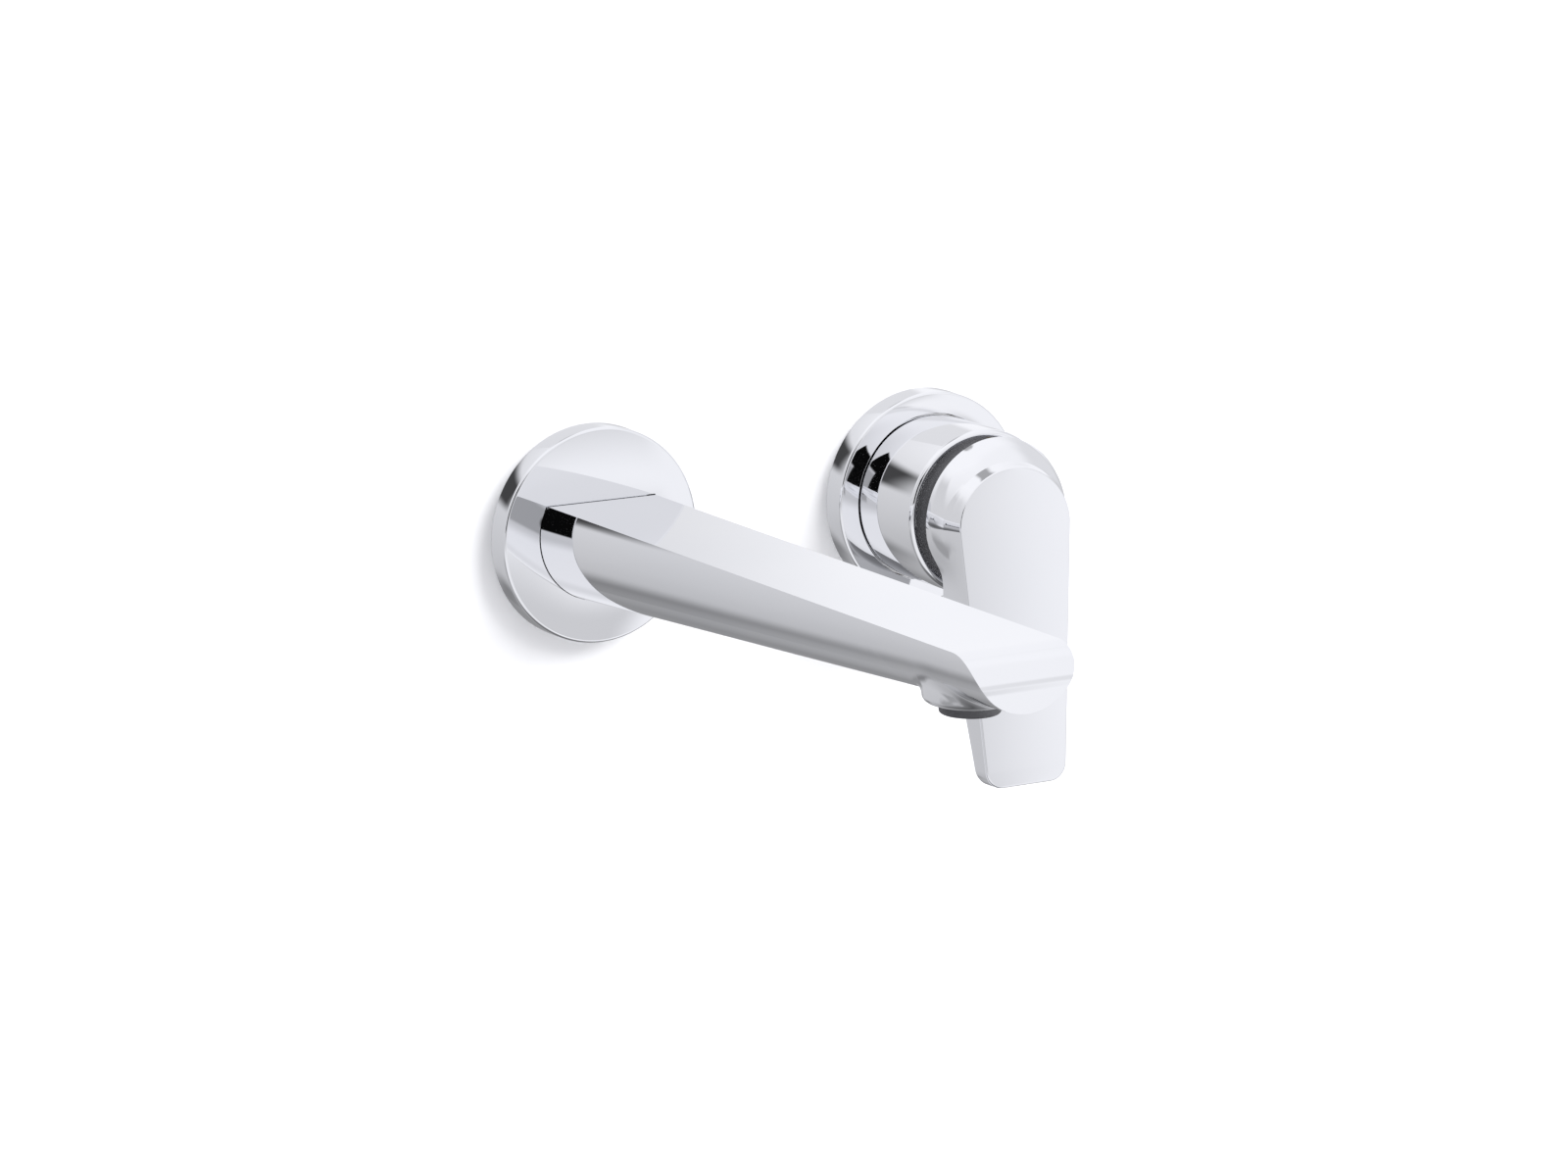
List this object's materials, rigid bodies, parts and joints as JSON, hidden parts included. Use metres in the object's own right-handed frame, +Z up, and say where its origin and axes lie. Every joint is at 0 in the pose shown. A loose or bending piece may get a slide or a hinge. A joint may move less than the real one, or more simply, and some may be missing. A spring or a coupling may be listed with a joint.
{
  "type": "wall mounted bath faucet",
  "caption": "Chrome wall mounted bath faucet: a long flat topped spout and a turning, tilting lever handle on round wall plates, with its in-wall valve.",
  "frame": {"origin": "on the finished wall plane, at the centre of the spout's wall plate", "axes": "+Z up, +X to the right as one faces the wall (towards the handle), +Y into the wall, so the spout reaches out along -Y"},
  "size_m": [0.201, 0.2851, 0.1134],
  "materials": {
    "polished_chrome": "mirror polished chrome plating",
    "turned_brass": "machined brass, faint turning marks",
    "cast_brass": "sand cast brass, dull and slightly grainy",
    "copper_tube": "drawn copper, dull",
    "zinc_steel": "zinc plated sheet steel",
    "stainless_steel": "bright stainless steel",
    "black_rubber": "matte black rubber",
    "foam_seal": "closed cell foam",
    "dark_plastic": "satin black plastic",
    "white_plastic": "satin white acetal",
    "grey_plastic": "satin grey plastic",
    "ceramic": "ground white alumina"
  },
  "bodies": {
    "root": {"spout_body": "polished_chrome", "spout_plate": "polished_chrome", "spout_plate_seal": "foam_seal", "spout_nipple": "turned_brass", "spout_o_ring_front": "black_rubber", "spout_o_ring_rear": "black_rubber", "spout_set_screw": "stainless_steel", "aerator_housing": "dark_plastic", "aerator_insert": "grey_plastic", "aerator_screen": "stainless_steel", "aerator_washer": "black_rubber", "handle_plate": "polished_chrome", "handle_plate_seal": "foam_seal", "handle_sleeve": "polished_chrome", "sleeve_o_ring": "black_rubber", "sleeve_retainer": "turned_brass", "cartridge_cover": "dark_plastic", "cartridge_nut": "turned_brass", "cartridge_housing": "white_plastic", "cartridge_base": "grey_plastic", "fixed_disc": "ceramic", "hot_port_seal": "black_rubber", "cold_port_seal": "black_rubber", "outlet_port_seal": "black_rubber", "valve_body": "cast_brass", "spout_elbow": "cast_brass", "crossover_tube": "copper_tube", "crossover_nut_left": "turned_brass", "crossover_nut_right": "turned_brass", "mounting_bracket": "zinc_steel", "elbow_screw_1": "stainless_steel", "elbow_screw_2": "stainless_steel", "valve_screw_1": "stainless_steel", "valve_screw_2": "stainless_steel"},
    "guide": {"lever_guide": "white_plastic", "pivot_pin": "stainless_steel"},
    "handle": {"handle_lever": "polished_chrome", "handle_bush": "grey_plastic", "handle_set_screw": "stainless_steel", "set_screw_plug": "grey_plastic", "cartridge_stem": "stainless_steel"},
    "disc": {"moving_disc": "ceramic", "disc_carrier": "white_plastic"}
  },
  "joints": [
    {"name": "handle_turn", "type": "hinge", "parent": "root", "child": "guide", "pos_m": [0.117, -0.03, 0], "axis": [0, 1, 0], "range_deg": [-45, 45]},
    {"name": "handle_tilt", "type": "hinge", "parent": "guide", "child": "handle", "pos_m": [0.117, -0.03, 0], "axis": [-1, 0, 0], "range_deg": [0, 14]},
    {"name": "disc_slide", "type": "slide", "parent": "guide", "child": "disc", "axis": [0, 0, -1], "range_m": [0, 0.0045]}
  ],
  "couplings": [
    {"joint": "disc_slide", "follows": "handle_tilt", "m_per_rad": 0.018}
  ]
}
